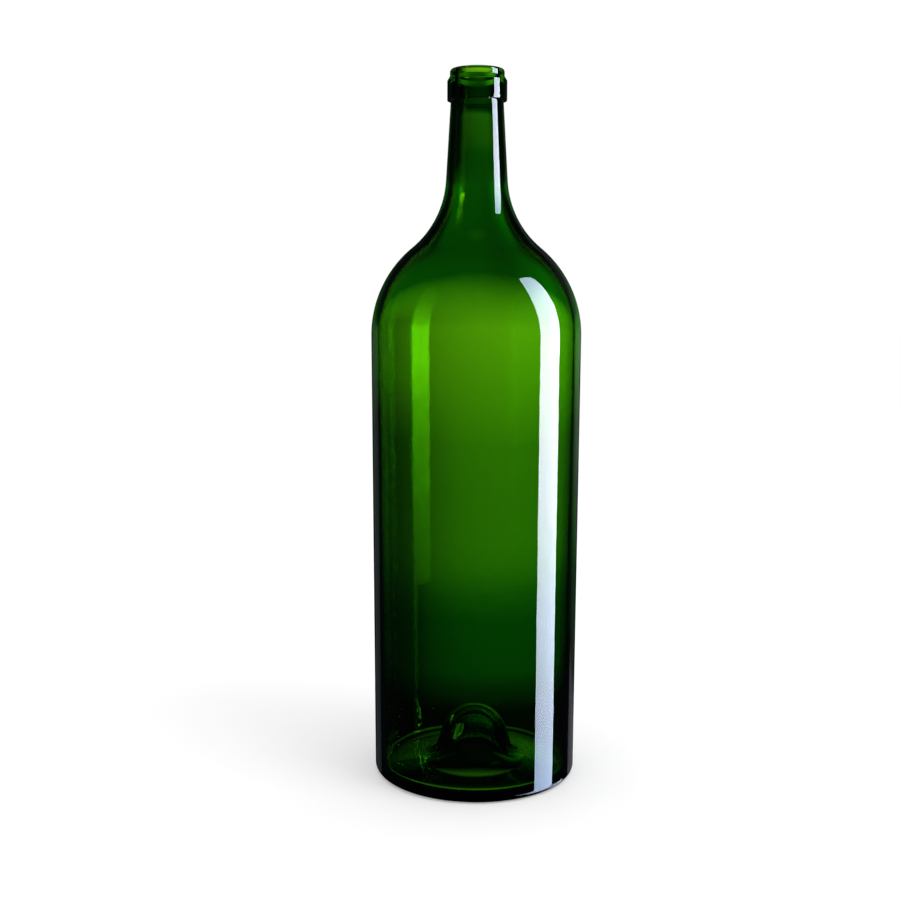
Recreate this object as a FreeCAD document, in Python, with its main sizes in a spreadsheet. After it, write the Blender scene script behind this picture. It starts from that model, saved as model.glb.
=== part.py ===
"""A large-format Bordeaux wine bottle: one hollow piece of blown green glass.

The outside is a revolved profile: a straight body that narrows a little towards
the foot, a rounded shoulder, a hollow sweep into the neck, and a finish made of
a square string ring under a rounded lip. The underside is pushed up into a
domed punt, and the inside follows both, with a wall of uneven thickness: thin
in the neck and the shoulder, thick at the heel and over the punt.

Millimetres, +Z up. The origin is on the axis, in the plane the bottle stands on.
"""
import FreeCAD, Part
import math
import os

import Sketcher

SIZES = [
    # alias, value, what it measures
    ("full_height", 535.0, "from the bearing ring to the top of the lip"),
    ("foot_radius", 77.7, "outside of the body, at the foot"),
    ("shoulder_radius", 79.3, "outside of the body, where the shoulder starts"),
    ("shoulder_height", 339.0, "height at which the shoulder starts"),
    ("shoulder_round", 84.4, "radius of the shoulder's outward curve"),
    ("neck_sweep", 69.2, "radius of the hollow curve from shoulder to neck"),
    ("neck_lean", 3.4, "half angle of the neck's taper, in degrees"),
    ("neck_top_radius", 19.6, "outside of the neck, right under the ring"),
    ("ring_bottom", 512.0, "height of the string ring's lower face"),
    ("ring_band", 14.4, "height of the string ring's upright band"),
    ("ring_radius", 22.2, "outside of the string ring"),
    ("lip_bottom", 529.7, "height at which the lip rises from the ring's bevel"),
    ("lip_radius", 20.2, "outside of the lip"),
    ("heel_round", 5.5, "radius of the outside corner of the foot"),
    ("bearing_inner_radius", 64.3, "inner edge of the flat bearing ring"),
    ("punt_height", 42.0, "top of the punt's underside"),
    ("punt_tip_radius", 18.5, "radius of the punt's dome, underneath"),
    ("punt_lean", 17.0, "half angle of the punt's flank, in degrees"),
    ("punt_foot_round", 23.5, "radius of the curve at the punt's foot, underneath"),
    ("base_rise", 7.0, "slope of the base from the bearing ring inwards, in degrees"),
    ("gutter_height", 6.5, "lowest glass inside, in the gutter round the punt"),
    ("punt_wall", 8.0, "glass over the punt"),
    ("heel_wall", 7.8, "glass in the body's wall, near the foot"),
    ("body_wall", 5.7, "glass in the body's wall, at the shoulder"),
    ("neck_wall", 5.0, "glass in the neck"),
    ("inner_neck_sweep", 66.0, "inside radius of the curve from shoulder to neck"),
    ("inner_heel_round", 4.5, "radius of the inside corner of the foot"),
    ("bore_radius", 14.0, "opening at the top of the lip"),
    ("bore_length", 45.0, "length of the bore that takes the cork"),
    ("lip_round", 2.2, "rounding of the lip's outer edge"),
    ("mouth_round", 1.6, "rounding of the lip's inner edge"),
    ("ring_top_round", 1.6, "rounding above the ring's band"),
    ("ring_low_round", 0.7, "rounding of the ring's lower edge"),
]


def make_sheet(doc):
    """Put the driving dimensions in a spreadsheet, one alias to a row."""
    sheet = doc.addObject("Spreadsheet::Sheet", "sizes")
    for row, (alias, value, meaning) in enumerate(SIZES, start=1):
        sheet.set(f"A{row}", meaning)
        sheet.set(f"B{row}", str(value))
        sheet.setAlias(f"B{row}", alias)
    doc.recompute()
    return sheet


def new_sketch(body, name):
    """Attach a sketch to the body's upright plane: x is radius, y is height."""
    sketch = body.newObject("Sketcher::SketchObject", name)
    plane = next(f for f in body.Origin.OriginFeatures if f.Role == "XZ_Plane")
    sketch.AttachmentSupport = [(plane, "")]
    sketch.MapMode = "FlatFace"
    return sketch


class Outline:
    """A closed loop of lines and arcs that is drawn roughly, then constrained."""

    def __init__(self, sketch, start):
        self.sketch = sketch
        self.pen = start
        self.edges = {}
        self.order = []

    def line(self, name, end):
        segment = Part.LineSegment(self._vector(self.pen), self._vector(end))
        self._keep(name, segment, end)

    def arc(self, name, through, end):
        """Draw an arc, always stored anticlockwise, as sketches expect."""
        start, middle, stop = (self._vector(p) for p in (self.pen, through, end))
        circle = Part.Circle(start, middle, stop)
        turning = (middle - start).cross(stop - middle).z
        first, last = (start, stop) if turning > 0 else (stop, start)
        centre = circle.Center
        angles = [math.atan2(p.y - centre.y, p.x - centre.x) for p in (first, last)]
        upright = Part.Circle(centre, FreeCAD.Vector(0, 0, 1), circle.Radius)
        self._keep(name, Part.ArcOfCircle(upright, *angles), end)

    def _vector(self, point):
        return FreeCAD.Vector(point[0], point[1], 0)

    def _keep(self, name, shape, end):
        number = self.sketch.addGeometry(shape, False)
        placed = self.sketch.Geometry[number]
        forwards = placed.StartPoint.distanceToPoint(self._vector(self.pen)) < 1e-6
        self.edges[name] = (number, 1 if forwards else 2, 2 if forwards else 1)
        self.order.append(name)
        self.pen = end

    def join(self, smooth=()):
        """Tie each edge to the next, tangent where the pair is named in smooth."""
        following = self.order[1:] + self.order[:1]
        for name, after in zip(self.order, following):
            number, _, tail = self.edges[name]
            next_number, head, _ = self.edges[after]
            kind = "Tangent" if (name, after) in smooth else "Coincident"
            self._add(kind, number, tail, next_number, head)

    def _add(self, *terms):
        return self.sketch.addConstraint(Sketcher.Constraint(*terms))

    def level(self, *names):
        for name in names:
            self._add("Horizontal", self.edges[name][0])

    def upright(self, *names):
        for name in names:
            self._add("Vertical", self.edges[name][0])

    def start_at_origin(self, name):
        number, head, _ = self.edges[name]
        self._add("Coincident", number, head, -1, 1)

    def start_on_axis(self, name):
        number, head, _ = self.edges[name]
        self._add("PointOnObject", number, head, -2)

    def centre_on_axis(self, name):
        self._add("PointOnObject", self.edges[name][0], 3, -2)

    def bind(self, label, kind, terms, formula, drawn):
        """Add a sized constraint at its drawn value and drive it from the sheet."""
        number = self._add(kind, *terms, drawn)
        self.sketch.renameConstraint(number, label)
        self.sketch.setExpression(f"Constraints.{label}", formula)

    def end_radius(self, name, formula):
        number, _, tail = self.edges[name]
        drawn = self.sketch.getPoint(number, tail).x
        self.bind(f"{name}_end_radius", "DistanceX", (-1, 1, number, tail), formula, drawn)

    def end_height(self, name, formula):
        number, _, tail = self.edges[name]
        drawn = self.sketch.getPoint(number, tail).y
        self.bind(f"{name}_end_height", "DistanceY", (-1, 1, number, tail), formula, drawn)

    def round(self, name, formula):
        number = self.edges[name][0]
        drawn = self.sketch.Geometry[number].Radius
        self.bind(f"{name}_round", "Radius", (number,), formula, drawn)

    def lean(self, name, formula):
        number, head, tail = self.edges[name]
        run = self.sketch.getPoint(number, tail) - self.sketch.getPoint(number, head)
        drawn = math.atan2(run.y, run.x)
        self.bind(f"{name}_lean", "Angle", (number,), formula, drawn)


def outer_outline(sketch):
    """The bottle's outside, from the foot up to the lip, closed along the axis."""
    out = Outline(sketch, (0, 0))
    out.line("base", (78, 0))
    out.line("body", (79, 339))
    out.arc("shoulder", (71, 376), (48, 405))
    out.arc("sweep", (31, 426), (23, 454))
    out.line("neck", (19, 512))
    out.line("ring_under", (22, 512))
    out.line("ring_band", (22, 526))
    out.line("ring_bevel", (20, 530))
    out.line("lip", (20, 535))
    out.line("top", (0, 535))
    out.line("axis", (0, 0))
    out.join(smooth={("body", "shoulder"), ("shoulder", "sweep"), ("sweep", "neck")})
    out.level("base", "ring_under", "top")
    out.upright("ring_band", "lip", "axis")
    out.start_at_origin("base")
    out.end_radius("base", "sizes.foot_radius")
    out.end_radius("body", "sizes.shoulder_radius")
    out.end_height("body", "sizes.shoulder_height")
    out.round("shoulder", "sizes.shoulder_round")
    out.round("sweep", "sizes.neck_sweep")
    out.lean("neck", "90 + sizes.neck_lean")
    out.end_radius("neck", "sizes.neck_top_radius")
    out.end_height("neck", "sizes.ring_bottom")
    out.end_radius("ring_under", "sizes.ring_radius")
    out.end_height("ring_band", "sizes.ring_bottom + sizes.ring_band")
    out.end_radius("ring_bevel", "sizes.lip_radius")
    out.end_height("ring_bevel", "sizes.lip_bottom")
    out.end_height("lip", "sizes.full_height")


def punt_outline(sketch):
    """The hollow pushed up into the base: a dome, a flank and a flared foot."""
    out = Outline(sketch, (0, 0))
    out.line("axis", (0, 42))
    out.arc("tip", (11, 39), (18, 29))
    out.line("flank", (21, 18))
    out.arc("foot", (28, 8), (41, 3))
    out.line("slope", (64, 0))
    out.line("floor", (0, 0))
    out.join(smooth={("tip", "flank"), ("flank", "foot"), ("foot", "slope")})
    out.upright("axis")
    out.level("floor")
    out.start_at_origin("axis")
    out.centre_on_axis("tip")
    out.end_height("axis", "sizes.punt_height")
    out.round("tip", "sizes.punt_tip_radius")
    out.lean("flank", "-90 + sizes.punt_lean")
    out.round("foot", "sizes.punt_foot_round")
    out.lean("slope", "-sizes.base_rise")
    out.end_radius("slope", "sizes.bearing_inner_radius")


def inner_outline(sketch):
    """The room inside: over the punt, up the wall and out through the bore."""
    out = Outline(sketch, (0, 50))
    out.arc("tip", (15, 45), (25, 31))
    out.line("flank", (28, 20))
    out.arc("foot", (33, 14), (41, 11))
    out.line("slope", (65, 6))
    out.arc("heel", (68, 8), (70, 11))
    out.line("body", (74, 339))
    out.arc("shoulder", (67, 373), (45, 401))
    out.arc("sweep", (26, 424), (18, 454))
    out.line("neck", (16, 490))
    out.line("bore", (14, 535))
    out.line("mouth", (0, 535))
    out.line("axis", (0, 50))
    out.join(smooth={
        ("tip", "flank"), ("flank", "foot"), ("foot", "slope"), ("slope", "heel"),
        ("heel", "body"), ("body", "shoulder"), ("shoulder", "sweep"), ("sweep", "neck"),
    })
    out.upright("axis")
    out.level("mouth")
    out.start_on_axis("tip")
    out.centre_on_axis("tip")
    out.end_height("axis", "sizes.punt_height + sizes.punt_wall")
    out.round("tip", "sizes.punt_tip_radius + sizes.punt_wall")
    out.lean("flank", "-90 + sizes.punt_lean")
    out.round("foot", "sizes.punt_foot_round - sizes.punt_wall")
    out.lean("slope", "-sizes.base_rise")
    out.end_height("slope", "sizes.gutter_height")
    out.round("heel", "sizes.inner_heel_round")
    out.end_radius("heel", "sizes.foot_radius - sizes.heel_wall")
    out.end_radius("body", "sizes.shoulder_radius - sizes.body_wall")
    out.end_height("body", "sizes.shoulder_height")
    out.round("shoulder", "sizes.shoulder_round - sizes.body_wall")
    out.round("sweep", "sizes.inner_neck_sweep")
    out.lean("neck", "90 + sizes.neck_lean")
    out.end_height("neck", "sizes.full_height - sizes.bore_length")
    bore_foot_to_ring = "(sizes.ring_bottom - sizes.full_height + sizes.bore_length)"
    widening = f"{bore_foot_to_ring} * tan(sizes.neck_lean * 1 deg)"
    out.end_radius("neck", f"sizes.neck_top_radius - sizes.neck_wall + {widening}")
    out.end_radius("bore", "sizes.bore_radius")
    out.end_height("bore", "sizes.full_height")


def turn(body, sketch, kind, name):
    """Revolve a sketch all the way round the upright axis."""
    feature = body.newObject(kind, name)
    feature.Profile = sketch
    feature.ReferenceAxis = (sketch, ["V_Axis"])
    feature.Angle = 360.0
    sketch.Visibility = False
    return feature


def circles_at(shape, radius, height):
    """Names of the circular edges of this radius at this height."""
    found = []
    for number, edge in enumerate(shape.Edges, start=1):
        if edge.Degenerated or not isinstance(edge.Curve, Part.Circle):
            continue
        curve = edge.Curve
        near = abs(curve.Radius - radius) < 0.01 and abs(curve.Center.z - height) < 0.01
        if near:
            found.append(f"Edge{number}")
    return found


def soften(body, name, radius, height, size_alias):
    """Round the circular edge at this radius and height."""
    base = body.Tip
    edges = circles_at(base.Shape, radius, height)
    if not edges:
        raise RuntimeError(f"{name}: no edge at radius {radius} and height {height}")
    fillet = body.newObject("PartDesign::Fillet", name)
    fillet.Base = (base, edges)
    fillet.setExpression("Radius", f"sizes.{size_alias}")
    body.Document.recompute()


def make_bottle(doc, sheet):
    """Turn the outside, push up the punt, hollow it out and round the edges."""
    body = doc.addObject("PartDesign::Body", "bottle")
    body.Label = "bottle"

    outside = new_sketch(body, "outside")
    outer_outline(outside)
    turn(body, outside, "PartDesign::Revolution", "outer_form")
    doc.recompute()
    full_volume = body.Shape.Volume

    underside = new_sketch(body, "underside")
    punt_outline(underside)
    turn(body, underside, "PartDesign::Groove", "punt")
    doc.recompute()
    punt_volume = full_volume - body.Shape.Volume

    inside = new_sketch(body, "inside")
    inner_outline(inside)
    turn(body, inside, "PartDesign::Groove", "hollow")
    doc.recompute()
    room = full_volume - punt_volume - body.Shape.Volume
    if punt_volume <= 0 or room <= 0:
        raise RuntimeError("a groove removed nothing")
    print(f"punt {punt_volume / 1e6:.3f} l, room inside {room / 1e6:.3f} l")

    soften(body, "heel", sheet.foot_radius, 0, "heel_round")
    soften(body, "ring_low_edge", sheet.ring_radius, sheet.ring_bottom, "ring_low_round")
    band_top = sheet.ring_bottom + sheet.ring_band
    soften(body, "ring_top_edge", sheet.ring_radius, band_top, "ring_top_round")
    soften(body, "lip_edge", sheet.lip_radius, sheet.full_height, "lip_round")
    soften(body, "mouth_edge", sheet.bore_radius, sheet.full_height, "mouth_round")
    return body


def check(doc, bodies):
    """Stop if a feature failed or a piece is not one sound solid."""
    doc.recompute()
    for item in doc.Objects:
        if "Invalid" in item.State or "Error" in item.State:
            raise RuntimeError(f"{item.Name} failed: {item.State}")
    for body in bodies:
        shape = body.Shape
        if shape.isNull() or not shape.isValid() or len(shape.Solids) != 1:
            raise RuntimeError(f"{body.Label} is not one valid solid")


GRAMS_PER_MM3 = 0.0025


def main():
    doc = FreeCAD.newDocument("wine_bottle")
    sheet = make_sheet(doc)
    bodies = [make_bottle(doc, sheet)]
    check(doc, bodies)
    os.makedirs("parts", exist_ok=True)
    for body in bodies:
        body.Shape.exportStep(f"parts/{body.Label}.step")
        box = body.Shape.optimalBoundingBox()
        print(f"{body.Label}: {box.XLength:.1f} x {box.YLength:.1f} x {box.ZLength:.1f} mm")
        print(f"  glass {body.Shape.Volume / 1e6:.3f} l, {body.Shape.Volume * GRAMS_PER_MM3:.0f} g")


main()
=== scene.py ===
# %% [markdown]
# # A large green wine bottle, empty and open
#
# The real thing is one piece of glass. A gob of molten glass is blown in a mould,
# so its outside is smooth and true, and its inside is a little uneven.
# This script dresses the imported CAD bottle: it turns the same outline at a finer
# step, gives it clear green glass, and stands it in a small studio.

# %% Load the fixed frame
import math

import bpy
from mathutils import Matrix, Vector


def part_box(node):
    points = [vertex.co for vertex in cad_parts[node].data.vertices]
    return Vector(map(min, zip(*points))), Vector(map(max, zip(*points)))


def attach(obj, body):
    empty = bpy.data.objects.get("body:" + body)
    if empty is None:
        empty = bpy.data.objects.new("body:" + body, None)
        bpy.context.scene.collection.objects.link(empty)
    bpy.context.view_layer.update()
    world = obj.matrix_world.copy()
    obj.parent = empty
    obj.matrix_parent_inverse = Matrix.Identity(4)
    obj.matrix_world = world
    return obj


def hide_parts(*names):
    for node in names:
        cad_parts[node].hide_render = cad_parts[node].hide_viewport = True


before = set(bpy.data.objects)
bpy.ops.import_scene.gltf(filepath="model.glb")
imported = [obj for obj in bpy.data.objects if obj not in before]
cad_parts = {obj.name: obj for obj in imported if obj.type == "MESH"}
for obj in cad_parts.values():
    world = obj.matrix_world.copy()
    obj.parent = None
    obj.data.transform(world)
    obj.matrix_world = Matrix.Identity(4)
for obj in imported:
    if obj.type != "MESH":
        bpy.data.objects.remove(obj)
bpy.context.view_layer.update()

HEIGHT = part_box("bottle")[1][2]
MM = 0.001
print(f"bottle in the frame: {HEIGHT / MM:.1f} mm tall")

# %% [markdown]
# ## The outline
#
# A bottle is turned about its axis, so half a section says everything about its
# shape. It could be pushed about by hand, but a mould maker draws it with lines
# and tangent arcs, and that keeps every reflection clean. So the outline here is
# made the same way, in millimetres. An arc is a row of points three degrees apart,
# which smooth shading turns into an even curve.

# %% Draw an arc
ARC_STEP = math.radians(3.0)


def arc(centre, radius, first, last):
    """Points along an arc, from one angle in degrees to another, ends included."""
    sweep = math.radians(last - first)
    steps = max(2, math.ceil(abs(sweep) / ARC_STEP))
    angles = [math.radians(first) + sweep * i / steps for i in range(steps + 1)]
    return [Vector((centre[0] + radius * math.cos(a), centre[1] + radius * math.sin(a)))
            for a in angles]


print(f"a quarter turn takes {len(arc((0, 0), 1, 0, 90))} points")

# %% [markdown]
# Glass has no sharp corner, because it flows before it sets. A Bevel modifier could
# round the finished mesh, but then every corner would get the same radius. Here each
# corner of the drawing carries its own radius, and the arc that touches both lines
# is worked out from the angle between them.

# %% Round the corners of a run of lines
def corner_arc(before, corner, after, radius):
    """The arc that touches both lines at a corner."""
    back = (before - corner).normalized()
    ahead = (after - corner).normalized()
    half = back.angle(ahead) / 2
    centre = corner + (back + ahead).normalized() * radius / math.sin(half)
    reach = radius / math.tan(half)
    start = corner + back * reach - centre
    end = corner + ahead * reach - centre
    first = math.degrees(math.atan2(start.y, start.x))
    turn = (math.degrees(math.atan2(end.y, end.x)) - first + 180) % 360 - 180
    return arc(centre, radius, first, first + turn)


def rounded(corners):
    """A run of straight lines; each corner is (r, z) or (r, z, radius of its arc)."""
    points = [Vector(corners[0][:2])]
    for before, here, after in zip(corners, corners[1:], corners[2:]):
        corner = Vector(here[:2])
        if len(here) == 2:
            points.append(corner)
        else:
            points += corner_arc(Vector(before[:2]), corner, Vector(after[:2]), here[2])
    points.append(Vector(corners[-1][:2]))
    return points


print(f"a rounded square corner takes {len(rounded([(0, 0), (9, 0, 2), (9, 9)]))} points")

# %% [markdown]
# ## The shoulder and the neck's sweep
#
# The shoulder swells outwards and the neck hollows inwards, and the two arcs meet
# with no corner. A spline could be bent until it looks right, but only two true arcs
# give the long even streak of light that such a bottle has. Their radii and the
# line of the neck are known, so the place where they meet follows from one triangle
# between the two centres.

# %% Shoulder and neck sweep
neck_lean = 3.4


def shoulder_and_sweep(foot, top, big, small, neck_point):
    """The outward arc from the body's top, then the hollow arc into the neck."""
    lean = math.degrees(math.atan2(top[0] - foot[0], top[1] - foot[1]))
    out = Vector((math.cos(math.radians(lean)), -math.sin(math.radians(lean))))
    big_centre = Vector(top) - big * out
    across = math.radians(neck_lean)
    away = Vector((math.cos(across), math.sin(across)))
    gap = small - (big_centre - Vector(neck_point)).dot(away)
    meeting = neck_lean + math.degrees(math.acos(gap / (big + small)))
    turned = Vector((math.cos(math.radians(meeting)), math.sin(math.radians(meeting))))
    small_centre = big_centre + (big + small) * turned
    swell = arc(big_centre, big, -lean, meeting)
    hollow = arc(small_centre, small, meeting + 180, neck_lean + 180)
    return swell + hollow[1:]


foot_radius, shoulder_radius, shoulder_height = 77.7, 79.3, 339.0
shoulder_round, neck_sweep = 84.4, 69.2
neck_top_radius, ring_bottom = 19.6, 512.0
shoulder = shoulder_and_sweep(
    (foot_radius, 0), (shoulder_radius, shoulder_height), shoulder_round, neck_sweep,
    (neck_top_radius, ring_bottom))
print(f"shoulder: {len(shoulder)} points, the neck starts {shoulder[-1].y:.0f} mm up")

# %% [markdown]
# ## The punt
#
# The base is pushed up into a dome while the glass is soft. It stiffens the base and
# lets the bottle stand on a narrow ring. It is drawn as a dome, a leaning flank, and
# a flared foot that runs out to that ring. The inside follows the same form, so one
# helper draws both.

# %% Dome, flank and foot of the punt
punt_lean, base_rise = 17.0, 7.0


def crossing(point, direction, other, other_direction):
    """Where two lines cross."""
    p, d = Vector(point), Vector(direction)
    q, e = Vector(other), Vector(other_direction)
    along = (q - p).cross(e) / d.cross(e)
    return p + along * d


def punt(height, tip, foot, bearing_point):
    """The dome, and the flared foot's corner on the line to the bearing ring."""
    dome = arc((0, height - tip), tip, 90, punt_lean)
    slant = math.radians(punt_lean)
    rise = math.radians(base_rise)
    corner = crossing(dome[-1], (math.sin(slant), -math.cos(slant)),
                      bearing_point, (-math.cos(rise), math.sin(rise)))
    return dome, (corner.x, corner.y, foot)


punt_height, punt_tip, punt_foot, bearing_inner = 42.0, 18.5, 23.5, 64.3
dome, foot_corner = punt(punt_height, punt_tip, punt_foot, (bearing_inner, 0))
print(f"punt: {punt_height} mm high, its foot {foot_corner[0]:.1f} mm from the axis")

# %% [markdown]
# ## The outside
#
# Under the mouth sit a square ring, which once held the string of the cork, and a
# rounded lip over it. They are the crispest edges of the bottle, so their radii are
# small. The outside runs from under the punt, round the heel, up the body and over
# the lip, and stops just inside the mouth.

# %% The outside, from under the punt to the top of the lip
bearing_round, heel_round = 0.8, 5.5
underside = dome + rounded([
    dome[-1], foot_corner, (bearing_inner, 0, bearing_round), (foot_radius, 0, heel_round),
    (shoulder_radius, shoulder_height),
])[1:]
TOP = HEIGHT / MM
ring_radius, ring_band = 22.2, 14.4
lip_radius, lip_bottom, bore_radius = 20.2, 529.7, 14.0
hollow_round, ring_foot_round, ring_top_round = 0.8, 0.7, 1.6
lip_round, mouth_round, mouth_depth = 2.2, 1.6, 4.0
finish = rounded([
    shoulder[-1], (neck_top_radius, ring_bottom, hollow_round),
    (ring_radius, ring_bottom, ring_foot_round),
    (ring_radius, ring_bottom + ring_band, ring_top_round),
    (lip_radius, lip_bottom, hollow_round), (lip_radius, TOP, lip_round),
    (bore_radius, TOP, mouth_round), (bore_radius, TOP - mouth_depth),
])
outside = underside + shoulder[1:] + finish[1:-1]
print(f"outside: {len(outside)} points")

# %% [markdown]
# ## The inside
#
# Solidify would give a wall of one thickness. A blown wall is thin in the neck and
# thick at the foot, and a gutter runs round the punt, and the thick places are what
# makes the glass look dark there. So the inside is drawn too, from the bore down.

# %% The neck's bore and the inner shoulder
neck_wall, body_wall, heel_wall = 5.0, 5.7, 7.8
bore_length, inner_sweep = 45.0, 66.0
gutter_height, inner_heel_round = 6.5, 4.5
slack = math.tan(math.radians(neck_lean))
bore_foot = (neck_top_radius - neck_wall + (ring_bottom - TOP + bore_length) * slack,
             TOP - bore_length)
inner_heel = (foot_radius - heel_wall, gutter_height + inner_heel_round)
inner_top = (shoulder_radius - body_wall, shoulder_height)
inner_shoulder = shoulder_and_sweep(
    inner_heel, inner_top, shoulder_round - body_wall, inner_sweep, bore_foot)
inside = rounded([bore_foot, inner_shoulder[-1]]) + inner_shoulder[::-1][1:]
print(f"bore: {2 * bore_foot[0]:.1f} mm wide at its foot")

# %% [markdown]
# Lower down, the inner wall leans in towards the heel, turns into the gutter, and
# climbs over the punt. The gutter's corner isn't square, so it is found where the
# wall and the gutter's slope cross, and rounded there. The gutter's flat starts a
# little farther in than that rounding reaches.

# %% The inner heel, the gutter and the top of the punt
punt_wall, flat_starts = 8.0, 1.12
gutter = (inner_heel[0] - inner_heel_round * flat_starts, gutter_height)
inner_dome, inner_foot = punt(
    punt_height + punt_wall, punt_tip + punt_wall, punt_foot - punt_wall, gutter)
slope = math.radians(base_rise)
heel_corner = crossing(gutter, (math.cos(slope), -math.sin(slope)),
                       inner_heel, (inner_top[0] - inner_heel[0], inner_top[1] - inner_heel[1]))
inside += rounded([
    inner_top, (*heel_corner, inner_heel_round), inner_foot, inner_dome[-1],
])[1:]
inside += inner_dome[::-1][1:]
print(f"inside: {len(inside)} points")

# %% [markdown]
# ## One closed line round the glass
#
# The outside and the inside join at the mouth into a single line that starts and
# ends on the axis, so the turned skin closes by itself. The long straight runs are
# cut into short ones, so that the inside has points enough for its slight unevenness.

# %% Join the two runs into one line
LONGEST = 9.0


def subdivided(points, longest):
    """The same run of points, with no straight stretch longer than this."""
    result = [points[0]]
    for a, b in zip(points, points[1:]):
        count = max(1, math.ceil((b - a).length / longest))
        result += [a.lerp(b, (i + 1) / count) for i in range(count)]
    return result


line = subdivided(outside + inside, LONGEST)
wall_starts = len(subdivided(outside, LONGEST))
print(f"{len(line)} points on the line, the inner wall from point {wall_starts}")

# %% [markdown]
# The line goes into a mesh of loose points, which the node tree can read. An
# attribute says how far each point belongs to the inner wall: 0 outside, 1 inside,
# and in between over a few points past the lip, so that nothing steps.

# %% Keep the line as a mesh
EASED_FROM, EASED_OVER = 2, 12
line_mesh = bpy.data.meshes.new("bottle_line")
line_mesh.from_pydata([(p.x * MM, 0, p.y * MM) for p in line], [], [])
inner = line_mesh.attributes.new("inner", "FLOAT", "POINT")
for index in range(len(line)):
    share = (index - wall_starts - EASED_FROM) / EASED_OVER
    inner.data[index].value = min(1.0, max(0.0, share))
line_object = bpy.data.objects.new("bottle_line", line_mesh)
print(f"attribute {inner.name!r} on {len(line_mesh.vertices)} points")

# %% [markdown]
# ## Turning the line
#
# The Screw or Spin tool would turn it as well. A node tree says the rule itself:
# a sheet of points, one row to each point of the line and one column to each step
# round, and every point is set to its own radius and angle. The tree starts with
# its named inputs, and three small helpers that add, join and reckon.

# %% Start the turning tree
tree = bpy.data.node_groups.new("turn_the_line", "GeometryNodeTree")
tree.interface.new_socket(name="Line", in_out="INPUT", socket_type="NodeSocketGeometry")
tree.interface.new_socket(name="Glass", in_out="OUTPUT", socket_type="NodeSocketGeometry")
sockets = {}
for label, kind, value in (
        ("Steps Round", "NodeSocketInt", 64), ("Unevenness", "NodeSocketFloat", 0.0),
        ("Wavelength", "NodeSocketFloat", 0.1), ("Seed", "NodeSocketInt", 0)):
    socket = tree.interface.new_socket(name=label, in_out="INPUT", socket_type=kind)
    socket.default_value = value
    sockets[label] = socket.identifier


def add(kind, **settings):
    """A new node of the tree."""
    node = tree.nodes.new(kind)
    for key, value in settings.items():
        setattr(node, key, value)
    return node


def link(source, target):
    """Join two sockets of the tree."""
    tree.links.new(source, target)


def reckon(operation, first, second=None):
    """A Math node on numbers or sockets."""
    node = add("ShaderNodeMath", operation=operation)
    for socket, value in zip(node.inputs, (first, second)):
        if isinstance(value, (int, float)):
            socket.default_value = value
        elif value is not None:
            link(value, socket)
    return node.outputs[0]


start = add("NodeGroupInput").outputs
print("inputs:", ", ".join(sockets))

# %% [markdown]
# The sheet is a Mesh Grid. Its points are counted along the columns first, so a
# point's row is its index divided by the number of columns, and its column is what
# is left over. The last column falls on the first one, and closes the turn.

# %% A sheet with a row to each point of the line
size = add("GeometryNodeAttributeDomainSize", component="MESH")
link(start["Line"], size.inputs["Geometry"])
columns = reckon("ADD", start["Steps Round"], 1)
sheet = add("GeometryNodeMeshGrid")
link(size.outputs["Point Count"], sheet.inputs["Vertices X"])
link(columns, sheet.inputs["Vertices Y"])

index = add("GeometryNodeInputIndex").outputs[0]
row = reckon("FLOOR", reckon("DIVIDE", index, columns))
column = reckon("MODULO", index, columns)
wrapped = reckon("MODULO", column, start["Steps Round"])
angle = reckon("MULTIPLY", wrapped, reckon("DIVIDE", math.tau, start["Steps Round"]))
print(f"{len(tree.nodes)} nodes for the sheet")

# %% [markdown]
# Each row reads its radius and its height from the line with Sample Index. Radius
# and angle then give a place in space, by sine and cosine, as on any turned piece.

# %% Read the line and turn it
def on_row(kind, value):
    """A value of the line's own point, on every point of its row."""
    node = add("GeometryNodeSampleIndex", data_type=kind, domain="POINT")
    link(start["Line"], node.inputs["Geometry"])
    link(value, node.inputs["Value"])
    link(row, node.inputs["Index"])
    return node.outputs["Value"]


def turned(at_radius):
    """The place of every point, at this radius."""
    place = add("ShaderNodeCombineXYZ")
    link(reckon("MULTIPLY", at_radius, reckon("COSINE", angle)), place.inputs["X"])
    link(reckon("MULTIPLY", at_radius, reckon("SINE", angle)), place.inputs["Y"])
    link(height, place.inputs["Z"])
    return place.outputs[0]


drawn = add("ShaderNodeSeparateXYZ")
link(on_row("FLOAT_VECTOR", add("GeometryNodeInputPosition").outputs[0]), drawn.inputs[0])
radius, height = drawn.outputs["X"], drawn.outputs["Z"]
print(f"{len(tree.nodes)} nodes with the line")

# %% [markdown]
# ## The uneven inner wall
#
# Blown glass is never quite even on the inside, where no mould touches it. That is
# what makes the green wander in a real bottle. A Displace modifier would move the
# outside too, so the tree moves the inner wall alone, by a very soft noise. The
# move dies away at the axis, where all the points of a row are one.

# %% Move the inner wall a little
NEAR_AXIS = 40.0
noise = add("ShaderNodeTexNoise", noise_dimensions="4D")
noise.inputs["Detail"].default_value = 0.0
link(turned(radius), noise.inputs["Vector"])
link(start["Seed"], noise.inputs["W"])
link(reckon("DIVIDE", 1.0, start["Wavelength"]), noise.inputs["Scale"])
swing = reckon("MULTIPLY", reckon("SUBTRACT", noise.outputs["Fac"], 0.5), 2.0)

inner_wall = add("GeometryNodeInputNamedAttribute", data_type="FLOAT")
inner_wall.inputs["Name"].default_value = "inner"
how_inner = on_row("FLOAT", inner_wall.outputs["Attribute"])
depth = reckon("MULTIPLY", swing, reckon("MULTIPLY", start["Unevenness"], how_inner))
off_axis = reckon("MINIMUM", reckon("MULTIPLY", radius, NEAR_AXIS), 1.0)
uneven = reckon("ADD", radius, reckon("MULTIPLY", depth, off_axis))
print(f"{len(tree.nodes)} nodes with the unevenness")

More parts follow.
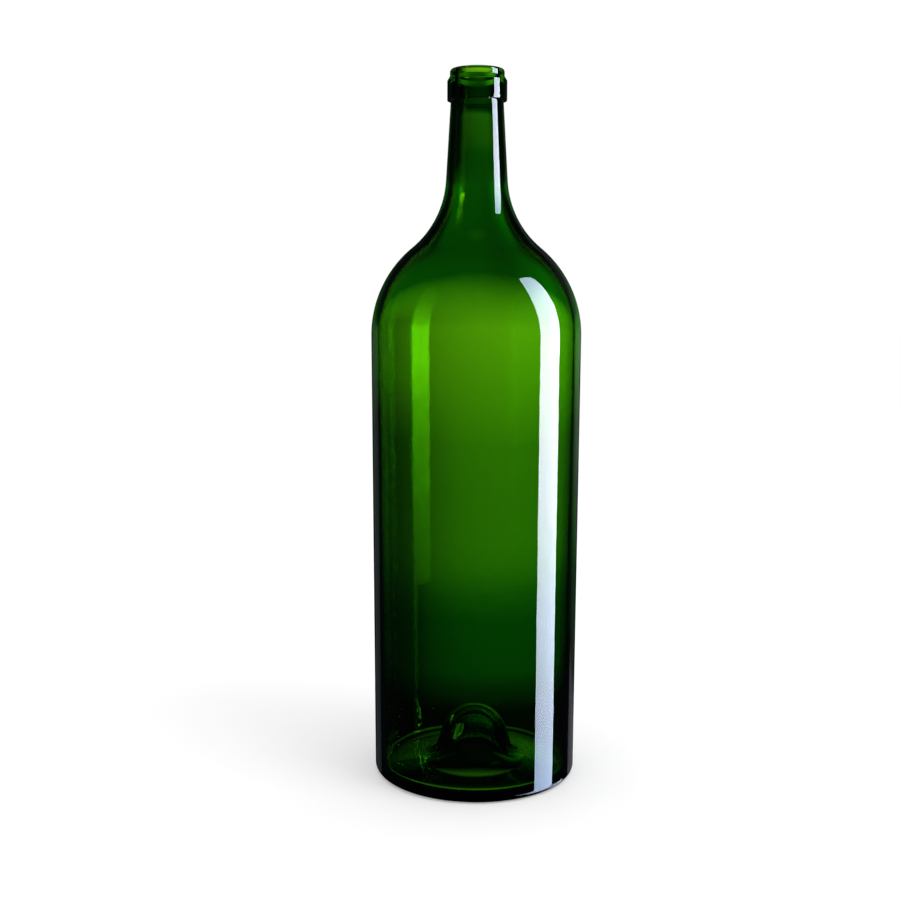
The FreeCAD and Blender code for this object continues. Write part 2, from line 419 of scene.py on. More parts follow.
# %% [markdown]
# ## Closing the skin
#
# Set Position puts the sheet's points in their places. The seam and the two poles
# still have doubles, which Merge by Distance joins. The faces of the sheet come out
# pointing inwards, so they are flipped: glass bends light the wrong way if its
# faces don't point out of it. The material goes on last, once the glass is made.

# %% Close the skin and smooth it
DOUBLES_WITHIN = 0.00001
place = add("GeometryNodeSetPosition")
link(sheet.outputs["Mesh"], place.inputs["Geometry"])
link(turned(uneven), place.inputs["Position"])
closed = add("GeometryNodeMergeByDistance")
closed.inputs["Distance"].default_value = DOUBLES_WITHIN
link(place.outputs[0], closed.inputs["Geometry"])
outwards = add("GeometryNodeFlipFaces")
link(closed.outputs[0], outwards.inputs["Mesh"])
smooth = add("GeometryNodeSetShadeSmooth")
link(outwards.outputs[0], smooth.inputs["Geometry"])
real = add("GeometryNodeRealizeInstances")
link(smooth.outputs[0], real.inputs["Geometry"])
coat = add("GeometryNodeSetMaterial")
link(real.outputs[0], coat.inputs["Geometry"])
link(coat.outputs[0], add("NodeGroupOutput").inputs["Glass"])
print(f"turning tree: {len(tree.nodes)} nodes")

# %% [markdown]
# ## Green glass
#
# Bottle green is in the depth of the glass, not on its skin: a thin lip looks
# pale and fresh, a thick base nearly black. A coloured surface can't do that. So
# the surface is clear and smooth, and the volume takes light away as it passes. One
# wall takes nearly all the blue, over two thirds of the red and two fifths of the
# green.

# %% Make the glass
ABSORPTION_COLOUR = (0.638, 0.85, 0.067, 1.0)
ABSORPTION_DENSITY = 600.0
REFRACTIVE_INDEX = 1.52

glass = bpy.data.materials.new("green_glass")
glass.use_nodes = True
nodes, links = glass.node_tree.nodes, glass.node_tree.links
skin = nodes["Principled BSDF"]
skin.inputs["Base Color"].default_value = (1.0, 1.0, 1.0, 1.0)
skin.inputs["Roughness"].default_value = 0.0
skin.inputs["IOR"].default_value = REFRACTIVE_INDEX
skin.inputs["Transmission Weight"].default_value = 1.0
green = nodes.new("ShaderNodeVolumeAbsorption")
green.inputs["Color"].default_value = ABSORPTION_COLOUR
green.inputs["Density"].default_value = ABSORPTION_DENSITY
links.new(green.outputs["Volume"], nodes["Material Output"].inputs["Volume"])
print(f"glass: refractive index {REFRACTIVE_INDEX}, density {ABSORPTION_DENSITY:.0f}")

# %% [markdown]
# Even the outside of a moulded bottle isn't a perfect mirror. The mould leaves
# ripples a few centimetres long and far too low to see, but they make the edge of
# a mirrored lamp waver. Points on the mesh would need to be very many to carry
# them, so a bump does it, from a noise fixed to the bottle itself.

# %% Ripples on the skin
RIPPLES_PER_METRE = 22.0
RIPPLE_HEIGHT, RIPPLE_STRENGTH, RIPPLE_DETAIL = 0.001, 0.2, 2.0
on_bottle = nodes.new("ShaderNodeTexCoord")
ripple = nodes.new("ShaderNodeTexNoise")
ripple.inputs["Scale"].default_value = RIPPLES_PER_METRE
ripple.inputs["Detail"].default_value = RIPPLE_DETAIL
bump = nodes.new("ShaderNodeBump")
bump.inputs["Strength"].default_value = RIPPLE_STRENGTH
bump.inputs["Distance"].default_value = RIPPLE_HEIGHT
links.new(on_bottle.outputs["Object"], ripple.inputs["Vector"])
links.new(ripple.outputs["Fac"], bump.inputs["Height"])
links.new(bump.outputs["Normal"], skin.inputs["Normal"])
print(f"ripples: {RIPPLES_PER_METRE:.0f} to the metre")

# %% [markdown]
# ## The bottle
#
# The tree is given the line and its numbers, and the result is kept as a plain
# mesh. The numbers are set before the mesh is first worked out. 200 steps round
# keep the edge of the bottle smooth at any distance it is likely to be seen from,
# and the mesh under 200,000 triangles.

# %% Turn the line into the bottle
STEPS_ROUND = 200
UNEVENNESS, WAVELENGTH, SEED = 0.00025, 0.09, 7
coat.inputs["Material"].default_value = glass
bpy.context.scene.collection.objects.link(line_object)
turning = line_object.modifiers.new("turn", "NODES")
turning.node_group = tree
turning[sockets["Steps Round"]] = STEPS_ROUND
turning[sockets["Unevenness"]] = UNEVENNESS
turning[sockets["Wavelength"]] = WAVELENGTH
turning[sockets["Seed"]] = SEED
evaluated = line_object.evaluated_get(bpy.context.evaluated_depsgraph_get())
bottle_mesh = bpy.data.meshes.new_from_object(evaluated)
line_object.modifiers.remove(turning)
bpy.data.objects.remove(line_object)
bottle = bpy.data.objects.new("bottle_glass", bottle_mesh)
bpy.context.scene.collection.objects.link(bottle)
triangles = sum(len(face.vertices) - 2 for face in bottle_mesh.polygons)
print(f"bottle: {len(bottle_mesh.vertices)} points, {triangles} triangles")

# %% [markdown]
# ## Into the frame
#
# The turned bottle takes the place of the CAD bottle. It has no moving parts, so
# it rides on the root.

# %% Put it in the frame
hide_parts("bottle")
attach(bottle, "root")
print("bottle_glass replaces bottle and rides on root")

# %% [markdown]
# ## Camera
#
# A 50 mm lens about a metre away, a little above the shoulder and looking down
# a few degrees, so that the mouth is seen nearly from the side and the foot from
# above. Nearer and wider would swell the shoulder, farther would flatten it.

# %% Set the camera
LENS, SENSOR = 50.0, 36.0
LOOK_DOWN, ROLL = 7.39, 0.122
CAMERA_PLACE = (-0.0196, -0.9510, 0.3749)
camera_data = bpy.data.cameras.new("camera")
camera_data.lens = LENS
camera_data.sensor_width = SENSOR
camera = bpy.data.objects.new("camera", camera_data)
bpy.context.scene.collection.objects.link(camera)
camera.matrix_world = (
    Matrix.Translation(CAMERA_PLACE)
    @ Matrix.Rotation(math.radians(90 - LOOK_DOWN), 4, "X")
    @ Matrix.Rotation(math.radians(ROLL), 4, "Z"))
bpy.context.scene.camera = camera
print(f"camera {-camera.location.y:.2f} m in front, {camera.location.z:.2f} m up")

# %% [markdown]
# ## Studio
#
# Glass has hardly a look of its own. It shows what stands round it, so it is lit
# by cards: flat sheets that glow. The camera itself doesn't see them, nor do the
# floor and the shadows. A card can also be kept off the skin, where light is
# mirrored, or out of the glass, where light passes through.

# %% A card
def card(name, corners, material, on_skin=True, through_glass=True):
    """A flat card that shows on the skin of the glass, through the glass, or both."""
    mesh = bpy.data.meshes.new(name)
    mesh.from_pydata(corners, [], [tuple(range(len(corners)))])
    mesh.materials.append(material)
    obj = bpy.data.objects.new(name, mesh)
    bpy.context.scene.collection.objects.link(obj)
    obj.visible_camera = False
    obj.visible_diffuse = False
    obj.visible_shadow = False
    obj.visible_glossy = on_skin
    obj.visible_transmission = through_glass
    return obj


print("cards are flat, and the camera doesn't see them")

# %% [markdown]
# A lamp behind paper is never even: it is bright in the middle and fades to the
# ends. A gradient up the card gives that, as a list of heights with a colour each.
# One flat colour would be quicker, but then the reflection looks cut from paper.
# A Color Ramp holds up to 32 such colours, and takes a number from 0 to 1.

# %% Greys, ramps and scales
def grey(value, tint=(1.0, 1.0, 1.0)):
    """A grey of this strength, or the same with a tint."""
    return tuple(value * part for part in tint)


def ramp_of(nodes, levels, low, high):
    """A colour ramp from a list of (position, colour)."""
    ramp = nodes.new("ShaderNodeValToRGB")
    stops = ramp.color_ramp.elements
    while len(stops) < len(levels):
        stops.new(0.5)
    for stop, (at, colour) in zip(stops, levels):
        stop.position = (at - low) / (high - low)
    for stop, (at, colour) in zip(stops, levels):
        stop.color = (*colour, 1.0)
    return ramp


def scaled(nodes, links, source, low, high):
    """The same value, but 0 at the low end and 1 at the high end."""
    scale = nodes.new("ShaderNodeMapRange")
    scale.inputs["From Min"].default_value = low
    scale.inputs["From Max"].default_value = high
    links.new(source, scale.inputs["Value"])
    return scale.outputs[0]


print("a half grey with a cool tint:", grey(0.5, (0.9, 1.0, 1.1)))

# %% [markdown]
# A glow is an Emission shader, which gives light and reflects none. Its colour comes
# from the ramp, and the ramp is led by the card's own height, read from its Object
# coordinates. The nodes get names, so that later cells can find and change them.

# %% A glow that changes with height
def glow(name, heights):
    """Light whose colour changes with height; heights are (z, colour) pairs."""
    material = bpy.data.materials.new(name)
    material.use_nodes = True
    nodes, links = material.node_tree.nodes, material.node_tree.links
    nodes.clear()
    low, high = heights[0][0], heights[-1][0]
    nodes.new("ShaderNodeTexCoord").name = "place"
    nodes.new("ShaderNodeSeparateXYZ").name = "parts"
    links.new(nodes["place"].outputs["Object"], nodes["parts"].inputs[0])
    ramp = ramp_of(nodes, heights, low, high)
    ramp.name = "colours"
    links.new(scaled(nodes, links, nodes["parts"].outputs["Z"], low, high), ramp.inputs["Fac"])
    nodes.new("ShaderNodeEmission").name = "light"
    nodes.new("ShaderNodeOutputMaterial").name = "output"
    links.new(ramp.outputs["Color"], nodes["light"].inputs["Color"])
    links.new(nodes["light"].outputs[0], nodes["output"].inputs["Surface"])
    return material


print("a glow has the nodes place, parts, colours, light and output")

# %% [markdown]
# ## Two kinds of light
#
# Some light reaches the eye straight through the bottle, and some is mirrored
# inside it first. In a real studio the cards are moved until each does its own
# work. Here a card is told which of the two it answers to, by how often the light
# was mirrored or passed a surface. So it needn't be moved for a view from the side.

# %% Tell mirrored light from straight light
MIRRORED = ("Glossy Depth", "GREATER_THAN", 0.5)
STRAIGHT = ("Glossy Depth", "LESS_THAN", 0.5)
OFF_THE_FAR_WALL = ("Transmission Depth", "GREATER_THAN", 3.5)


def which_light(material, *tests):
    """1 for light that passes every one of these tests, otherwise 0."""
    nodes, links = material.node_tree.nodes, material.node_tree.links
    path = nodes.new("ShaderNodeLightPath")
    answer = None
    for count, operation, limit in tests:
        test = nodes.new("ShaderNodeMath")
        test.operation = operation
        test.inputs[1].default_value = limit
        links.new(path.outputs[count], test.inputs[0])
        if answer is None:
            answer = test.outputs[0]
            continue
        both = nodes.new("ShaderNodeMath")
        both.operation = "MULTIPLY"
        links.new(answer, both.inputs[0])
        links.new(test.outputs[0], both.inputs[1])
        answer = both.outputs[0]
    return answer


for count, operation, limit in (MIRRORED, STRAIGHT, OFF_THE_FAR_WALL):
    print(f"test: {count} {operation} {limit}")

# %% [markdown]
# A card that only goes dark for the wrong light would still hide what hangs behind
# it. So it goes clear instead: a Mix Shader picks the glow for light that passes the
# tests, and a Transparent BSDF for all other light.

# %% Clear for the wrong light
def clear_unless(material, *tests):
    """Make the card clear for light that fails one of the tests."""
    nodes, links = material.node_tree.nodes, material.node_tree.links
    clear = nodes.new("ShaderNodeBsdfTransparent")
    either = nodes.new("ShaderNodeMixShader")
    links.new(which_light(material, *tests), either.inputs[0])
    links.new(clear.outputs[0], either.inputs[1])
    links.new(nodes["light"].outputs[0], either.inputs[2])
    links.new(either.outputs[0], nodes["output"].inputs["Surface"])
    return material


print("a card can be clear to the light that isn't meant to see it")

# %% [markdown]
# ## The softbox on the right
#
# One tall softbox makes both streaks. Mirrored on the skin it is the long white
# streak, cool and dim at the foot and warm white at the shoulder. Mirrored off the
# far wall and seen through the glass, it is the green streak on the left. The two
# jobs want different strengths, so there are two cards in the same place. A flat
# rectangle would do for the first but for its top: the shoulder bends its mirror
# image, so the card's outline is drawn to end the streak cleanly in the neck.

# %% Hang the softbox for the skin
SOFTBOX_X, SOFTBOX_LOW, SOFTBOX_HIGH = 0.5, -0.5, 1.05
SOFTBOX_BACK = 0.03
skin_outline = [
    (SOFTBOX_BACK, SOFTBOX_LOW), (-0.213, SOFTBOX_LOW), (-0.213, 0.35), (-0.217, 0.45),
    (-0.223, 0.55), (-0.227, 0.65), (-0.227, 0.8), (-0.225, 0.98), (-0.05, 0.845),
    (-0.026, 0.8), (-0.004, 0.74), (0.014, 0.66), (0.024, 0.58), (0.032, 0.5)]
skin_glow = glow("softbox_on_skin", [
    (SOFTBOX_LOW, (4.0, 6.0, 9.0)), (-0.19, (6.1, 7.9, 11.2)), (-0.11, (7.4, 8.9, 11.5)),
    (-0.066, (8.5, 9.9, 12.3)), (0.0, (10.3, 11.8, 14.8)), (0.072, (12.1, 13.2, 15.4)),
    (0.14, (14.6, 14.6, 17.5)), (0.3, (17.5, 16.5, 18.5)), (0.6, (13.0, 14.5, 17.0)),
    (0.72, (9.5, 11.5, 14.5)), (0.8, (8.0, 10.0, 13.0)), (SOFTBOX_HIGH, (6.0, 8.0, 10.0))])
card("softbox_on_skin", [(SOFTBOX_X, y, z) for y, z in skin_outline],
     skin_glow, through_glass=False)
print(f"softbox {SOFTBOX_X} m to the right, with {len(skin_outline)} corners")

# %% [markdown]
# The second card answers only to light that has been mirrored and has passed more
# than three surfaces, which is the light off the far inner wall. It is strongest a
# little below the shoulder, 26 times as bright as white paper, because little of
# its light comes through that much glass.

# %% Hang the softbox for the far wall
SOFTBOX_FRONT = -0.245
far_wall_glow = glow("softbox_through_glass", [(z, grey(level)) for z, level in (
    (SOFTBOX_LOW, 0.05), (-0.22, 0.1), (-0.1, 1.0), (0.0, 2.0), (0.06, 3.5), (0.1, 5.0),
    (0.14, 8.5), (0.175, 9.0), (0.24, 14.0), (0.29, 26.0), (0.325, 22.0), (0.345, 2.5),
    (0.46, 0.5), (0.5, 0.5), (0.53, 0.8), (0.6, 0.5), (SOFTBOX_HIGH, 0.3))])
card("softbox_through_glass", [
    (SOFTBOX_X, SOFTBOX_BACK, SOFTBOX_LOW), (SOFTBOX_X, SOFTBOX_FRONT, SOFTBOX_LOW),
    (SOFTBOX_X, SOFTBOX_FRONT, SOFTBOX_HIGH), (SOFTBOX_X, SOFTBOX_BACK, SOFTBOX_HIGH)],
    clear_unless(far_wall_glow, MIRRORED, OFF_THE_FAR_WALL), on_skin=False)
print(f"the same place, {SOFTBOX_BACK - SOFTBOX_FRONT:.3f} m wide")

# %% [markdown]
# ## The edges of the glass
#
# The very edges of a bottle mirror what stands behind and beside it. A rim light
# would do, but it would spill on the floor. Grey strips behind the bottle give the
# edges a thin pale line and nothing else.

# %% Stand the strips behind
STRIP_Y, STRIP_LOW, STRIP_HIGH = 1.05, -0.6, 1.0
LEFT_TINT, RIGHT_TINT = (0.85, 1.0, 1.1), (1.0, 0.96, 1.12)


def strip(name, near, far, heights):
    """An upright strip behind the bottle, seen only on its skin."""
    corners = [(near, STRIP_Y, STRIP_LOW), (far, STRIP_Y, STRIP_LOW),
               (far, STRIP_Y, STRIP_HIGH), (near, STRIP_Y, STRIP_HIGH)]
    return card(name, corners, glow(name, heights), through_glass=False)


strip("strip_left", -0.5, -1.05, [
    (STRIP_LOW, grey(0.06, LEFT_TINT)), (0.34, grey(0.06, LEFT_TINT)), (0.41, grey(0.01, LEFT_TINT)),
    (STRIP_HIGH, grey(0.01, LEFT_TINT))])
strip("strip_right", 0.42, 1.05, [
    (STRIP_LOW, grey(0.2, RIGHT_TINT)), (-0.36, grey(0.16, RIGHT_TINT)),
    (-0.3, grey(0.03, RIGHT_TINT)), (-0.1, grey(0.02, RIGHT_TINT)), (0.1, grey(0.1, RIGHT_TINT)),
    (0.3, grey(0.12, RIGHT_TINT)), (0.4, grey(0.06, RIGHT_TINT)),
    (STRIP_HIGH, grey(0.03, RIGHT_TINT))])
print(f"two strips {STRIP_Y} m behind")

# %% [markdown]
# The heel is rounded, so it mirrors what lies low beside the bottle. A pale sheet
# there gives it a soft bright edge. The softbox would also flood the base with
# light. In a real studio a black flag stops that, and so it does here.

# %% Sheet and flag, low on the right
SHEET_LIGHT, SHEET_Z = (2.2, 2.4, 3.2), -0.45
FLAG_LIGHT, FLAG_X = grey(0.002), 0.1
sheet_corners = [(0.4, -0.4), (0.8, -0.4), (0.8, 0.5), (0.4, 0.5)]
flag_corners = [(-0.3, -0.4), (0.03, -0.4), (0.03, 0.1), (-0.3, 0.1)]
sheet_glow = glow("pale_sheet", [(-1.0, SHEET_LIGHT), (1.0, SHEET_LIGHT)])
flag_glow = glow("flag", [(-1.0, FLAG_LIGHT), (1.0, FLAG_LIGHT)])
card("sheet_low_right", [(x, y, SHEET_Z) for x, y in sheet_corners],
     sheet_glow, through_glass=False)
card("flag_low_right", [(FLAG_X, y, z) for y, z in flag_corners],
     clear_unless(flag_glow, MIRRORED), on_skin=False)
print("a sheet and a flag")

# %% [markdown]
# ## The lit paper behind
#
# The green in the middle is light that came straight through from behind. The
# paper is brightest at the height of the shoulder and fades up and down. A thin
# bright band high up is all that lights the lip. The dim paper is green, which a
# real backdrop isn't, and it deepens the green of the glass. The levels weren't
# measured in a studio. They were reckoned back through the glass from the shades
# wanted in it, then rounded and changed by trial. A plain fade of three or four
# levels would be simpler, and would shade the body less finely.

# %% The paper's light from low to high
PAPER_LOW, PAPER_HIGH = -0.5, 1.2
DEEP, DUSK, LIP = (0.1, 1.0, 0.7), (0.35, 1.0, 0.9), (0.65, 1.0, 0.2)
TEAL, MIST, HALF, PALE = (0.45, 1.0, 1.0), (0.65, 1.0, 1.0), (0.74, 1.0, 1.0), (0.9, 1.0, 1.0)
BODY_FOOT = (0.68, 1.0, 1.0)
paper_glow = glow("paper", [
    (PAPER_LOW, grey(0.003, DEEP)), (-0.31, grey(0.008, DEEP)), (-0.265, grey(0.085, DEEP)),
    (-0.245, grey(0.15, DEEP)), (-0.16, grey(0.18, DEEP)), (-0.12, grey(0.28, DUSK)),
    (-0.07, grey(0.47, BODY_FOOT)), (-0.03, grey(0.52, HALF)), (0.05, grey(0.5, HALF)),
    (0.12, grey(0.53, HALF)), (0.19, grey(0.7, PALE)), (0.27, grey(0.88)),
    (0.31, grey(0.94)), (0.345, grey(0.74, PALE)), (0.376, grey(0.53, HALF)),
    (0.392, grey(0.41, MIST)), (0.41, grey(0.27, TEAL)),
    (0.427, grey(0.13, DEEP)), (0.445, grey(0.14, DEEP)), (0.46, grey(0.13, DEEP)),
    (0.555, grey(0.12, DEEP)), (0.58, grey(0.13, DEEP)), (0.603, grey(0.2, DUSK)),
    (0.622, grey(0.24, DUSK)), (0.629, grey(0.09, DEEP)), (0.636, grey(0.02, DEEP)),
    (0.675, grey(0.1, DEEP)), (0.7, grey(0.09, DEEP)), (0.7025, grey(1.0, LIP)),
    (0.706, grey(1.15, LIP)), (0.709, grey(0.06, DEEP)), (PAPER_HIGH, grey(0.06, DEEP))])
print(f"paper from {PAPER_LOW} to {PAPER_HIGH} m up")

# %% [markdown]
# The paper is brighter on the right, as if its lamp stood there, and it fades to
# the sides. How it fades differs from height to height, so a card can be given
# several fades, each blended into the next over a stretch of its height.

# %% Fade a card sideways
def sideways(material, reach, first, *changes):
    """Fade a card from side to side; each change is (from height, to height, new levels)."""
    nodes, links = material.node_tree.nodes, material.node_tree.links
    across = scaled(nodes, links, nodes["parts"].outputs["X"], -reach, reach)

    def fading(levels):
        ramp = ramp_of(nodes, [(x, grey(level)) for x, level in levels], -reach, reach)
        links.new(across, ramp.inputs["Fac"])
        return ramp.outputs["Color"]

    result = fading(first)
    for start, end, levels in changes:
        blend = nodes.new("ShaderNodeMix")
        blend.data_type = "FLOAT"
        rise = scaled(nodes, links, nodes["parts"].outputs["Z"], start, end)
        links.new(rise, blend.inputs["Factor"])
        links.new(result, blend.inputs["A"])
        links.new(fading(levels), blend.inputs["B"])
        result = blend.outputs["Result"]
    links.new(result, nodes["light"].inputs["Strength"])


print("a card can fade sideways, in a different way at each height")

# %% [markdown]
# The paper has four fades: a low one behind the foot, one behind the body, one
# behind the shoulder and one above it. Each is a list of places from left to right
# with a strength. The shoulder bends the light most, and so sees farthest to the
# sides, where the paper has to be strong. The lists come from the same reckoning
# and trial as the heights.

# %% Four fades from left to right
PAPER_SIDE = 0.9
low_down = [
    (-0.9, 0.03), (-0.5, 0.07), (-0.3, 0.16), (-0.2, 0.2), (-0.13, 0.28), (-0.09, 0.55),
    (-0.055, 0.72), (-0.01, 0.9), (0.032, 1.0), (0.072, 1.06), (0.117, 1.1), (0.2, 1.15),
    (0.33, 1.2), (0.5, 0.7), (0.65, 0.3), (0.9, 0.15)]
midway = [
    (-0.9, 0.4), (-0.5, 0.32), (-0.3, 0.36), (-0.183, 0.48), (-0.108, 0.64), (-0.055, 0.78),
    (-0.01, 0.9), (0.032, 1.0), (0.072, 1.08), (0.117, 1.25), (0.2, 1.4), (0.33, 1.7), (0.5, 1.3),
    (0.9, 0.7)]
high_up = [
    (-0.9, 0.1), (-0.6, 0.25), (-0.42, 1.2), (-0.28, 1.9), (-0.22, 1.9), (-0.15, 1.6), (-0.1, 1.4),
    (-0.05, 1.25), (0.032, 1.2), (0.07, 1.05), (0.105, 1.05), (0.135, 1.4), (0.2, 2.4), (0.26, 3.6),
    (0.42, 3.0), (0.9, 0.5)]
above = [
    (-0.9, 0.01), (-0.4, 0.02), (-0.3, 0.04), (-0.25, 0.08), (-0.2, 0.2), (-0.15, 0.4),
    (-0.1, 0.64), (-0.055, 0.78), (-0.01, 0.9), (0.032, 1.0), (0.117, 1.1), (0.2, 0.9),
    (0.3, 0.3), (0.4, 0.05), (0.9, 0.01)]
print("levels across:", len(low_down), len(midway), len(high_up), len(above))

# %% [markdown]
# The sheet itself is one flat card behind the bottle, seen only through the glass.
# The heights below are where one fade gives way to the next.

# %% Hang the paper
PAPER_Y = 1.0
sideways(paper_glow, PAPER_SIDE, low_down, (0.13, 0.23, midway), (0.33, 0.42, high_up),
         (0.5, 0.58, above))
card("paper_behind", [
    (-PAPER_SIDE, PAPER_Y, PAPER_LOW), (PAPER_SIDE, PAPER_Y, PAPER_LOW),
    (PAPER_SIDE, PAPER_Y, PAPER_HIGH), (-PAPER_SIDE, PAPER_Y, PAPER_HIGH)],
    paper_glow, on_skin=False)
print(f"paper {PAPER_Y} m behind, {2 * PAPER_SIDE} m wide")

# %% [markdown]
# ## Dark cloth all round
#
# Black edges make green glass read as glass, so dark cloth closes the studio in.
# In front and at the sides the cloth is pale to light that comes straight through
# the bottle. Otherwise the bottle would be black when seen from behind.

# %% Dark and pale cloth
CLOTH_REACH, CLOTH_SIDES, CLOTH_LOW, CLOTH_HIGH = 1.9, 24, -1.0, 2.5
PALE_BEFORE = 0.6
DARK = grey(0.008, (0.8, 0.9, 1.2))
cloth = glow("cloth", [(CLOTH_LOW, DARK), (CLOTH_HIGH, DARK)])
pale = glow("cloth_pale", [(CLOTH_LOW, grey(0.03)), (-0.4, grey(0.12)), (0.0, grey(0.4)),
                           (0.25, grey(0.75)), (0.5, grey(0.4)), (0.9, grey(0.15)),
                           (CLOTH_HIGH, grey(0.08))])
nodes, links = pale.node_tree.nodes, pale.node_tree.links
either = nodes.new("ShaderNodeMix")
either.data_type = "RGBA"
either.inputs["A"].default_value = (*DARK, 1.0)
links.new(which_light(pale, STRAIGHT), either.inputs["Factor"])
links.new(nodes["colours"].outputs["Color"], either.inputs["B"])
links.new(either.outputs["Result"], nodes["light"].inputs["Color"])
print(f"dark cloth {DARK[1]:.3f}, pale before y = {PALE_BEFORE} m")

# %% [markdown]
# The cloth hangs in straight lengths round the studio, with one more over it and
# one under it. Straight lengths are simpler than a bent sheet, and in the dark
# nobody sees their folds.

# %% Hang the cloth
ring = [(CLOTH_REACH * math.cos(math.tau * i / CLOTH_SIDES),
         CLOTH_REACH * math.sin(math.tau * i / CLOTH_SIDES)) for i in range(CLOTH_SIDES)]
for i in range(CLOTH_SIDES):
    (x0, y0), (x1, y1) = ring[i], ring[(i + 1) % CLOTH_SIDES]
    behind = (y0 + y1) / 2 > PALE_BEFORE
    card(f"cloth_{i}", [(x0, y0, CLOTH_LOW), (x1, y1, CLOTH_LOW), (x1, y1, CLOTH_HIGH),
                        (x0, y0, CLOTH_HIGH)], cloth if behind else pale)
card("cloth_over", [(x, y, CLOTH_HIGH) for x, y in ring], cloth)
card("cloth_under", [(x, y, CLOTH_LOW) for x, y in ring], cloth)
print(f"cloth: {CLOTH_SIDES} lengths round, one over and one under")

# %% [markdown]
# From above, the eye looks down through the bottle at what it stands on. A pale
# disc below the floor gives that light, and fades out before the low view from the
# front could reach it.

# %% Lay the pale disc
DISC_Z, DISC_RADIUS, DISC_LIGHT = -0.3, 0.76, 0.5
FADE_FROM, FADE_TO, FADED = 0.4, 0.75, 0.004
disc_glow = glow("light_under", [(-1.0, grey(DISC_LIGHT)), (1.0, grey(DISC_LIGHT))])
nodes, links = disc_glow.node_tree.nodes, disc_glow.node_tree.links
away = nodes.new("ShaderNodeVectorMath")
away.operation = "LENGTH"
fade = nodes.new("ShaderNodeMapRange")
fade.interpolation_type = "SMOOTHSTEP"
fade.inputs["From Min"].default_value = FADE_FROM
fade.inputs["From Max"].default_value = FADE_TO
fade.inputs["To Min"].default_value = 1.0
fade.inputs["To Max"].default_value = FADED
both = nodes.new("ShaderNodeMath")
both.operation = "MULTIPLY"
links.new(nodes["place"].outputs["Object"], away.inputs[0])
links.new(away.outputs["Value"], fade.inputs["Value"])
links.new(fade.outputs[0], both.inputs[0])
links.new(which_light(disc_glow, STRAIGHT), both.inputs[1])
links.new(both.outputs[0], nodes["light"].inputs["Strength"])
shrink = DISC_RADIUS / CLOTH_REACH
card("light_under", [(x * shrink, y * shrink, DISC_Z) for x, y in ring], disc_glow, on_skin=False)
print(f"disc {2 * DISC_RADIUS} m across")

# %% [markdown]
# ## Floor and room
#
# The bottle stands on a plain pale floor in a white room. A real product shot is
# lit until the floor turns white. Here the floor keeps its grey and its shadow,
# and only what the camera sees of it is lifted to white. The floor is kept out of
# the glass, where the cards do that work.

# %% Lay the floor
FLOOR = 8.0
floor_mesh = bpy.data.meshes.new("floor")
floor_corners = [(-FLOOR, -FLOOR, 0), (FLOOR, -FLOOR, 0), (FLOOR, FLOOR, 0), (-FLOOR, FLOOR, 0)]
floor_mesh.from_pydata(floor_corners, [], [(0, 1, 2, 3)])
floor = bpy.data.objects.new("floor", floor_mesh)
bpy.context.scene.collection.objects.link(floor)
floor.visible_glossy = False
floor.visible_transmission = False
print(f"floor {2 * FLOOR:.0f} m square")

# %% [markdown]
# The floor's paint is matt, so it takes a soft shadow. Light Path's Is Camera Ray is
# 1 only for what the camera sees itself, and there a little glow is added. A
# brighter lamp would whiten the floor too, but it would bleach the glass.

# %% Paint the floor
FLOOR_GREY, FLOOR_LIFT = 0.82, 0.22
floor_paint = bpy.data.materials.new("floor")
floor_paint.use_nodes = True
nodes, links = floor_paint.node_tree.nodes, floor_paint.node_tree.links
nodes.clear()
matt = nodes.new("ShaderNodeBsdfDiffuse")
matt.inputs["Color"].default_value = (*grey(FLOOR_GREY), 1.0)
path = nodes.new("ShaderNodeLightPath")
lift = nodes.new("ShaderNodeMath")
lift.operation = "MULTIPLY"
lift.inputs[1].default_value = FLOOR_LIFT
white = nodes.new("ShaderNodeEmission")
both = nodes.new("ShaderNodeAddShader")
output = nodes.new("ShaderNodeOutputMaterial")
links.new(path.outputs["Is Camera Ray"], lift.inputs[0])
links.new(lift.outputs[0], white.inputs["Strength"])
links.new(matt.outputs[0], both.inputs[0])
links.new(white.outputs[0], both.inputs[1])
links.new(both.outputs[0], output.inputs["Surface"])
floor_mesh.materials.append(floor_paint)
print(f"floor grey {FLOOR_GREY}, lifted by {FLOOR_LIFT} to the camera")

# %% [markdown]
# The world is the room's even light, and its white walls. It lights the floor a
# little under full strength, and shows as full white to the camera, on the skin
# and through the glass.

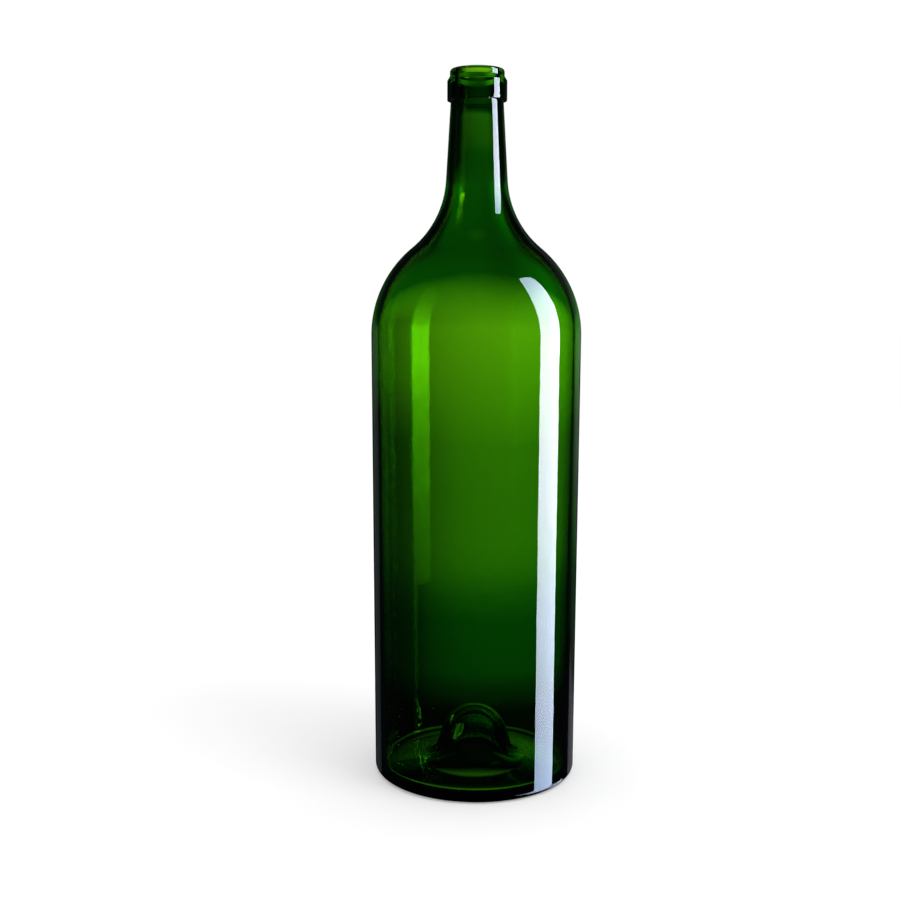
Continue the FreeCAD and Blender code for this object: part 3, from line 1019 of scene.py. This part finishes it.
# %% White the room
ROOM_LIGHT, ROOM_WHITE = 0.95, 1.0
world = bpy.data.worlds.new("room")
bpy.context.scene.world = world
world.use_nodes = True
nodes, links = world.node_tree.nodes, world.node_tree.links
nodes.clear()
path = nodes.new("ShaderNodeLightPath")
seen = None
for kind in ("Is Camera Ray", "Is Glossy Ray", "Is Transmission Ray"):
    if seen is None:
        seen = path.outputs[kind]
        continue
    either = nodes.new("ShaderNodeMath")
    either.operation = "ADD"
    links.new(seen, either.inputs[0])
    links.new(path.outputs[kind], either.inputs[1])
    seen = either.outputs[0]
level = nodes.new("ShaderNodeMapRange")
level.inputs["To Min"].default_value = ROOM_LIGHT
level.inputs["To Max"].default_value = ROOM_WHITE
room = nodes.new("ShaderNodeBackground")
room.inputs["Color"].default_value = (*grey(1.0), 1.0)
output = nodes.new("ShaderNodeOutputWorld")
links.new(seen, level.inputs["Value"])
links.new(level.outputs[0], room.inputs["Strength"])
links.new(room.outputs[0], output.inputs["Surface"])
print(f"room light {ROOM_LIGHT}, room white {ROOM_WHITE}")

# %% [markdown]
# One soft lamp up on the right gives the shadow its side. It is weak, and big, so
# that the shadow is a breath and no more, and it doesn't show in the glass.

# %% Hang the lamp
LAMP_SIZE, LAMP_POWER = 1.2, 12.0
LAMP_PLACE, LAMP_AIM = (1.2, -0.8, 2.0), (0, 0, 0.1)
lamp_data = bpy.data.lights.new("lamp", "AREA")
lamp_data.shape = "DISK"
lamp_data.size = LAMP_SIZE
lamp_data.energy = LAMP_POWER
lamp = bpy.data.objects.new("lamp", lamp_data)
bpy.context.scene.collection.objects.link(lamp)
lamp.location = LAMP_PLACE
lamp.rotation_euler = (Vector(LAMP_AIM) - lamp.location).to_track_quat("-Z", "Y").to_euler()
lamp.visible_glossy = False
lamp.visible_transmission = False
print(f"lamp {LAMP_POWER:.0f} W")

# %% [markdown]
# ## Render settings
#
# Light goes through four skins of glass to cross the bottle, and back again when
# it is mirrored. Too few bounces turn the base black, so there are plenty here.

# %% Set them
scene = bpy.context.scene
scene.view_settings.view_transform = "Standard"
scene.cycles.max_bounces = 24
scene.cycles.glossy_bounces = 16
scene.cycles.transmission_bounces = 24
scene.cycles.use_denoising = True
print(f"{scene.cycles.max_bounces} bounces at most")
